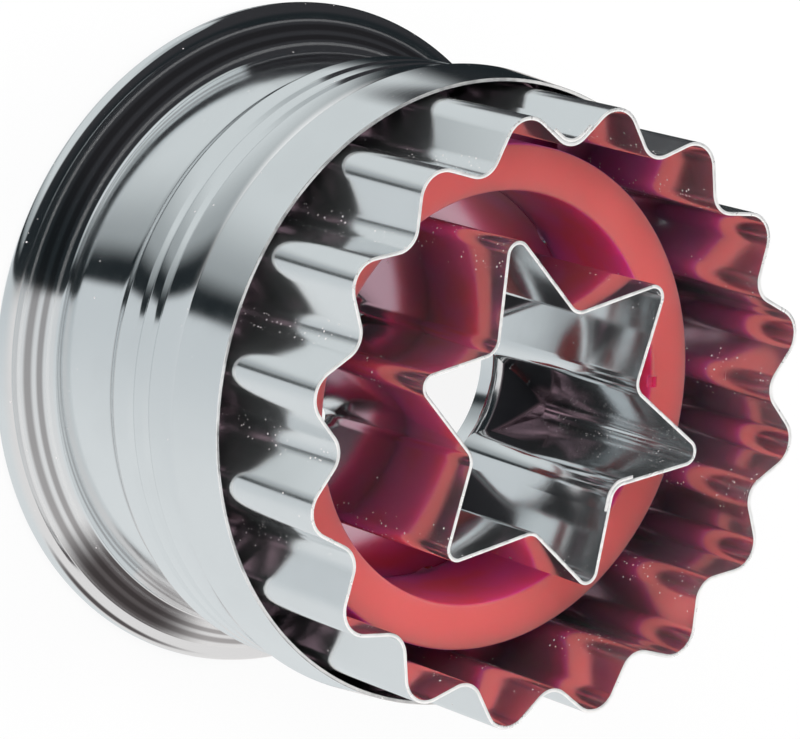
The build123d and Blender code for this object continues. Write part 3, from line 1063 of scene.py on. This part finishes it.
def pressed_sheet(name, collar, corner_reach, point_reach, first_point):
    """Bright sheet with painted shade, dark inside a star of these reaches and pink outside, but
    not on its collar.
    """
    material, graph, place = new_material(name)
    x, y, height = split(place)
    out = distance_out(place)
    bearing = graph.node("ShaderNodeMath", {"operation": "ARCTAN2"}, {0: y, 1: x})
    half_step = math.pi / len(STAR_BENDS)
    off_point = graph.node("ShaderNodeMath", {"operation": "PINGPONG"}, {
        0: bearing - math.radians(first_point), 1: half_step,
    }) / half_step
    outline = off_point * (1 / corner_reach - 1 / point_reach) + 1 / point_reach
    front = ramp(height, PLATE_FACE - FRONT_FROM, PLATE_FACE - FRONT_TO)
    # The front outside the collar, which gets a little roughness and the pink painted shade.
    roughened = ramp(out, collar, collar + COLLAR_FADE) * front
    # Painted shade inside the star's foot, which is also duller and less metallic there.
    shade_inside_star = ramp(out * outline, 1.04, 0.97) * roughened
    lines = spun_lines(place)
    # The dark tones of the painted shade inside the star.
    scale = blend(noise(place, PAINTED_SHADE_PATCH, 4.0), PAINTED_SHADE_DARK, PAINTED_SHADE_LIGHT)
    end_material(graph, {
        "Base Color": blend(shade_inside_star, blend(roughened, BRIGHT, PINK_SHADE), scale),
        "Metallic": 1.0 - shade_inside_star * 0.6,
        "Roughness": 0.10 + roughened * 0.04 + shade_inside_star * 0.3 + lines * 0.04,
        "Normal": bump(graph, lines * PRESS_LINES),
    })
    return material


plate_metal = pressed_sheet(
    "plate_metal", collar=9.3 * MM, corner_reach=8.5 * MM, point_reach=14.0 * MM, first_point=3
)
plate.data.materials.append(plate_metal)
print("plate finish:", len(plate_metal.node_tree.nodes), "nodes")

# %% [markdown]
# ## Ejector ring
# The plastic ring lies between the star and the flutes, and three posts behind it reach through the
# plate to the push ring. It is turned with softly rounded rims. A small notch in its bore is where
# the moulding was cut from its sprue.

# %% Ejector ring
RING_BORE = 16.2 * MM
RING_FOOT = PLATE_FACE + 0.1 * MM
RING_RIM = 0.25 * MM
GATE_SIZE = (1.1 * MM, 0.9 * MM, 1.0 * MM)
GATE_TURN = 257
PILOT = 1.0 * MM
POST_ROOT = RING_FOOT + 0.3 * MM

tube = dressed("tube", spun_mesh("tube", rounded([
    (RING_BORE, RING_FOOT, 0),
    (RING_BORE, RING_FACE, RING_RIM),
    (RING_RADIUS, RING_FACE, RING_RIM),
    (RING_RADIUS, RING_FOOT, 0),
]), SPIN_SEGMENTS))
gate_place = Matrix.Translation((*spot(RING_BORE, GATE_TURN), RING_FACE))
gate_turn = Matrix.Rotation(math.radians(GATE_TURN), 4, "Z")
notched = carved(tube.data, block_mesh(GATE_SIZE, gate_place @ gate_turn))
bpy.data.objects.remove(tube)
post_wall = [
    Vector(p) for p in (
        (PILOT, POST_END), (POST_RADIUS, POST_END), (POST_RADIUS, POST_ROOT), (PILOT, POST_ROOT),
    )
]
posts = []
for place in post_places:
    post = spun_mesh("post", post_wall, PIN_SEGMENTS)
    post.transform(Matrix.Translation((*place, 0)))
    posts.append(post)
ejector = dressed("ejector", joined(notched, *posts))
ejector.data.materials.clear()
ejector.data.materials.append(moulded_plastic("ejector_plastic", RING_FACE))
print("ejector:", len(ejector.data.polygons), "faces,", len(posts), "posts")

# %% [markdown]
# ## Return springs
# Three springs sit on the posts and push the plastic back. A Spiral curve gives the turns, and its
# points are lifted again by a formula that winds the last turn at each end closer. A tree places
# the same spring on the three corners of a circle, because what repeats is best drawn once.

# %% The spring tree
SPRING_INPUTS = {
    "Start": ("NodeSocketGeometry", None),
    "Springs": ("NodeSocketInt", 3),
    "Post Ring": ("NodeSocketFloat", 0.018),
    "Post Turn": ("NodeSocketFloat", 0.0),
    "Turns": ("NodeSocketFloat", 5.0),
    "Coil Radius": ("NodeSocketFloat", 0.002),
    "Wire Radius": ("NodeSocketFloat", 0.0002),
    "Low": ("NodeSocketFloat", 0.0),
    "High": ("NodeSocketFloat", 0.01),
    "End Pitch": ("NodeSocketFloat", 0.0009),
    "Material": ("NodeSocketMaterial", None),
}
SPRING_TURNS = 5
TURN_STEPS = 40
WIRE_SIDES = 12


def coil_height(graph, given):
    """The height of the wire along a spring, with a closer turn at each end."""
    share = graph.node("GeometryNodeSplineParameter")
    low, high = given["Low"] + given["Wire Radius"], given["High"] - given["Wire Radius"]
    wound = given["End Pitch"] * given["Turns"]
    middle = ramp(share, 1 / SPRING_TURNS, 1 - 1 / SPRING_TURNS)
    return low + wound * share + (high - low - wound) * middle


def spring_tree():
    """The tree that winds a spring and sets it on the corners of a circle."""
    graph, given = new_tree("return springs", SPRING_INPUTS)
    coil = graph.node("GeometryNodeCurveSpiral", None, {
        "Resolution": TURN_STEPS,
        "Rotations": given["Turns"],
        "Start Radius": given["Coil Radius"],
        "End Radius": given["Coil Radius"],
        "Height": 0.0,
    })
    rise = graph.node("ShaderNodeCombineXYZ", None, {"Z": coil_height(graph, given)})
    lifted = graph.node("GeometryNodeSetPosition", None, {"Geometry": coil, "Offset": rise})
    section = graph.node("GeometryNodeCurvePrimitiveCircle", {"mode": "RADIUS"}, {
        "Resolution": WIRE_SIDES, "Radius": given["Wire Radius"],
    })
    wire = graph.node("GeometryNodeCurveToMesh", None, {
        "Curve": lifted, "Profile Curve": section, "Fill Caps": True,
    })
    ring = graph.node("GeometryNodeMeshCircle", None, {
        "Vertices": given["Springs"], "Radius": given["Post Ring"],
    })
    turned = graph.node("GeometryNodeTransform", None, {
        "Geometry": ring,
        "Rotation": graph.node("ShaderNodeCombineXYZ", None, {"Z": given["Post Turn"]}),
    })
    inputs = {"Points": turned, "Instance": wire}
    placed = graph.node("GeometryNodeInstanceOnPoints", None, inputs)
    return end_tree(graph, placed, given["Material"])


coiled_springs = spring_tree()
print("spring tree:", len(coiled_springs.nodes), "nodes")

# %% [markdown]
# The springs fill the room between the push ring and the plate, with a hair's breadth left at each
# end, and clear the posts that they sit on. All three are one mesh, because they ride on one body.

# %% Return springs
SPRING_GAP = 0.1 * MM
WIRE_RADIUS = 0.2 * MM
COIL_RADIUS = POST_RADIUS + 0.45 * MM + WIRE_RADIUS
END_PITCH = 0.95 * MM

springs = dressed("springs", grown(coiled_springs, {
    "Springs": POSTS,
    "Post Ring": POST_RING,
    "Post Turn": math.radians(POST_TURN),
    "Turns": float(SPRING_TURNS),
    "Coil Radius": COIL_RADIUS,
    "Wire Radius": WIRE_RADIUS,
    "Low": PUSH_FACE + SPRING_GAP,
    "High": PLATE_BACK - SPRING_GAP,
    "End Pitch": END_PITCH,
    "Material": drawn_wire("wire"),
}, bpy.data.meshes.new("springs")))
print("springs:", len(springs.data.polygons), "faces, size", in_mm(springs.dimensions))

# %% [markdown]
# ## Handing the pieces over
# Each dressed piece takes the place of its solid and rides on the same body. The push ring and its
# screws keep their solids, whose shapes need no dressing, and only get a finish: a face height of
# zero makes the push ring satin all over.

for node, material in (
    ("push_ring", moulded_plastic("push_plastic", 0.0)),
    ("push_ring_screws", zinc_plate("plating")),
):
    for slot in bpy.data.objects[node].material_slots:
        slot.material = material

for piece, nodes, body, finish in (
    (sleeve, ["flanged_sleeve"], "cutter", "polished_sheet"),
    (plate, ["carrier_plate"], "cutter", "polished_sheet"),
    (flutes, ["fluted_cutter"], "cutter", "polished_sheet"),
    (star, ["star_cutter"], "cutter", "polished_sheet"),
    (springs, ["return_spring_1", "return_spring_2", "return_spring_3"], "cutter", "spring_wire"),
    (ejector, ["ejector_ring"], "ejector", "red_plastic"),
):
    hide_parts(*nodes)
    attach(piece, body)
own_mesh(springs)
print("six pieces stand for", len(frame["nodes"]) - 2, "nodes")

# %% [markdown]
# ## Studio
# A mirror shows what stands round it, and the reflections in the photograph tell what that was: the
# tool lay on its side on a pale table that carried its shadow, with a big soft light up on the
# left, a white backdrop behind it and a dark room elsewhere. The tool stands upright here, so the
# studio is tilted instead, and three directions say how.

# %% Directions in the studio
TABLE_UP = Vector((0.918, -0.401, 0.061)).normalized()
TABLE_FRONT = (away - TABLE_UP * away.dot(TABLE_UP)).normalized()
TABLE_RIGHT = TABLE_UP.cross(TABLE_FRONT)


def level(azimuth, elevation):
    """A direction in the photograph's own studio: 0, 0 is level, towards the camera."""
    a, e = math.radians(azimuth), math.radians(elevation)
    across = TABLE_FRONT * math.cos(a) + TABLE_RIGHT * math.sin(a)
    return across * math.cos(e) + TABLE_UP * math.sin(e)


print("studio up:", [round(part, 3) for part in TABLE_UP])

# %% [markdown]
# The world paints those areas from a ray's height above the table and its bearing, both in degrees.
# A ray from the camera, or one that has passed through something, sees plain white, which is the
# photograph's background. A mirrored ray sees that white where the backdrop stood and the studio
# elsewhere: with white all round, polished sheet would lose its form.

# %% World
DARK_LOW = (0.014, 0.019, 0.022, 1)
DARK_HIGH = (0.035, 0.035, 0.039, 1)
TABLE_FAR = (0.64, 0.68, 0.70, 1)
TABLE_NEAR = (0.78, 0.81, 0.82, 1)
TABLE_WARM = (0.86, 0.83, 0.82, 1)
SHADOW = (0.11, 0.095, 0.095, 1)
SOFT_EDGE = (0.36, 0.39, 0.40, 1)
SOFT_MIDDLE = (0.70, 0.74, 0.75, 1)
WHITE = (1, 1, 1, 1)

scene = bpy.context.scene
world = bpy.data.worlds.new("studio")
scene.world = world
world.use_nodes = True
world.node_tree.nodes.clear()
room = Graph(world.node_tree)
ray = room.node("ShaderNodeTexCoord").out("Generated")


def along(direction):
    """How far a ray points in a direction, from -1 to 1."""
    inputs = {0: ray, 1: direction}
    return room.node("ShaderNodeVectorMath", {"operation": "DOT_PRODUCT"}, inputs).out(1)


def in_degrees(operation, *inputs):
    """The angle that a Math node gives, in degrees."""
    angle = room.node("ShaderNodeMath", {"operation": operation}, dict(enumerate(inputs)))
    return angle * (180 / math.pi)


def cone(azimuth, elevation, outer, inner):
    """1 within the inner angle of a direction, and 0 outside the outer angle."""
    limits = [math.cos(math.radians(angle)) for angle in (outer, inner)]
    return ramp(along(level(azimuth, elevation)), *limits)


rise = in_degrees("ARCSINE", along(TABLE_UP))
bearing = in_degrees("ARCTAN2", along(TABLE_RIGHT), along(TABLE_FRONT))
near_table = blend(ramp(rise, -5.0, -40.0), TABLE_FAR, TABLE_NEAR)
lit_table = blend(ramp(bearing, -60.0, 60.0), near_table, TABLE_WARM)
table_colour = blend(cone(68, -68, outer=26, inner=9), lit_table, SHADOW)
dark = blend(ramp(rise, 10.0, 45.0), DARK_LOW, DARK_HIGH)
table_and_room = blend(ramp(rise, 2.0, -0.5), dark, table_colour)

soft_left = ramp(bearing - ramp(rise, 30.0, 38.0) * 14.0, -174.0, -164.0)
soft_right = ramp(bearing - rise * 0.55, -42.0, -62.0)
softbox = ramp(rise, 5.5, 12.5) * soft_left * soft_right
soft_level = ramp(rise, 11.0, 30.0) * (1.0 - ramp(rise, 62.0, 80.0) * 0.7)
soft_colour = blend(soft_level, SOFT_EDGE, SOFT_MIDDLE)
seen = blend(softbox, table_and_room, soft_colour)

backdrop = cone(-152, -3, outer=24, inner=18)
path = room.node("ShaderNodeLightPath")
straight = path.out("Is Camera Ray") + path.out("Is Transmission Ray")
plain = straight + path.out("Is Glossy Ray") * backdrop
studio = room.node("ShaderNodeBackground", None, {"Color": seen, "Strength": 1.0})
white = room.node("ShaderNodeBackground", None, {"Color": WHITE, "Strength": 1.0})
both = room.node("ShaderNodeMixShader", None, {0: plain, 1: studio, 2: white})
room.node("ShaderNodeOutputWorld", None, {"Surface": both})
print("world: table, softbox and backdrop round the tool,", len(world.node_tree.nodes), "nodes")

# %% [markdown]
# Three wide lamps stand in for the light that a bright studio bounces around. One faces the cutting
# edges, and two come from the sides, into the ring's bore. They have no sharp edges and aren't
# mirrored, so they only lift the plastic to the level at which its colour was chosen.

# %% Lamps
LAMP_DISTANCE = 0.8
LAMP_WIDTH = 0.5


def add_lamp(name, energy, way):
    """A round lamp that looks at the object from this direction."""
    lamp_data = bpy.data.lights.new(name, "AREA")
    lamp_data.shape = "DISK"
    lamp_data.size = LAMP_WIDTH
    lamp_data.energy = energy
    lamp = bpy.data.objects.new(name, lamp_data)
    facing = way.to_track_quat("Z", "Y").to_matrix().to_4x4()
    lamp.matrix_world = Matrix.Translation(way * LAMP_DISTANCE) @ facing
    lamp.visible_glossy = False
    scene.collection.objects.link(lamp)


add_lamp("front", 1.8, level(36, 22))
add_lamp("left", 3.6, level(-4, 25))
add_lamp("right", 3.0, level(86, 18))
print("three lamps", LAMP_DISTANCE, "m away")

# %% [markdown]
# The floor is plain pale paper just under the flange. Most of what the camera sees of it is an even
# white glow, so that it runs into the white background without an edge, and the rest is matt paper,
# which keeps a faint shadow. The metal doesn't mirror it, because the studio's table stands for it.

# %% Floor
FLOOR_HALF = 0.6
FLOOR_DROP = 0.02 * MM
PAPER_PATCH = 30 * MM
PAPER_DARK = (0.84, 0.84, 0.84, 1)
PAPER_LIGHT = (0.88, 0.88, 0.88, 1)
GLOW_SHARE = 0.9

floor_mesh = bpy.data.meshes.new("floor")
floor_corners = [(-1, -1), (1, -1), (1, 1), (-1, 1)]
floor_mesh.from_pydata(
    [(FLOOR_HALF * x, FLOOR_HALF * y, -FLOOR_DROP) for x, y in floor_corners], [], [(0, 1, 2, 3)]
)
floor = bpy.data.objects.new("floor", floor_mesh)
scene.collection.objects.link(floor)
floor.visible_glossy = False

paper, paper_graph, paper_place = new_material("paper")
paper_tone = blend(noise(paper_place, PAPER_PATCH), PAPER_DARK, PAPER_LIGHT)
matt = paper_graph.node("ShaderNodeBsdfDiffuse", None, {"Color": paper_tone})
glow = paper_graph.node("ShaderNodeEmission", None, {"Color": WHITE, "Strength": 1.0})
to_camera = paper_graph.node("ShaderNodeLightPath").out("Is Camera Ray") * GLOW_SHARE
mixed = paper_graph.node("ShaderNodeMixShader", None, {0: to_camera, 1: matt, 2: glow})
paper_graph.node("ShaderNodeOutputMaterial", None, {"Surface": mixed})
floor_mesh.materials.append(paper)
scene.view_settings.view_transform = "Standard"
print(f"floor {2 * FLOOR_HALF:.1f} m wide")
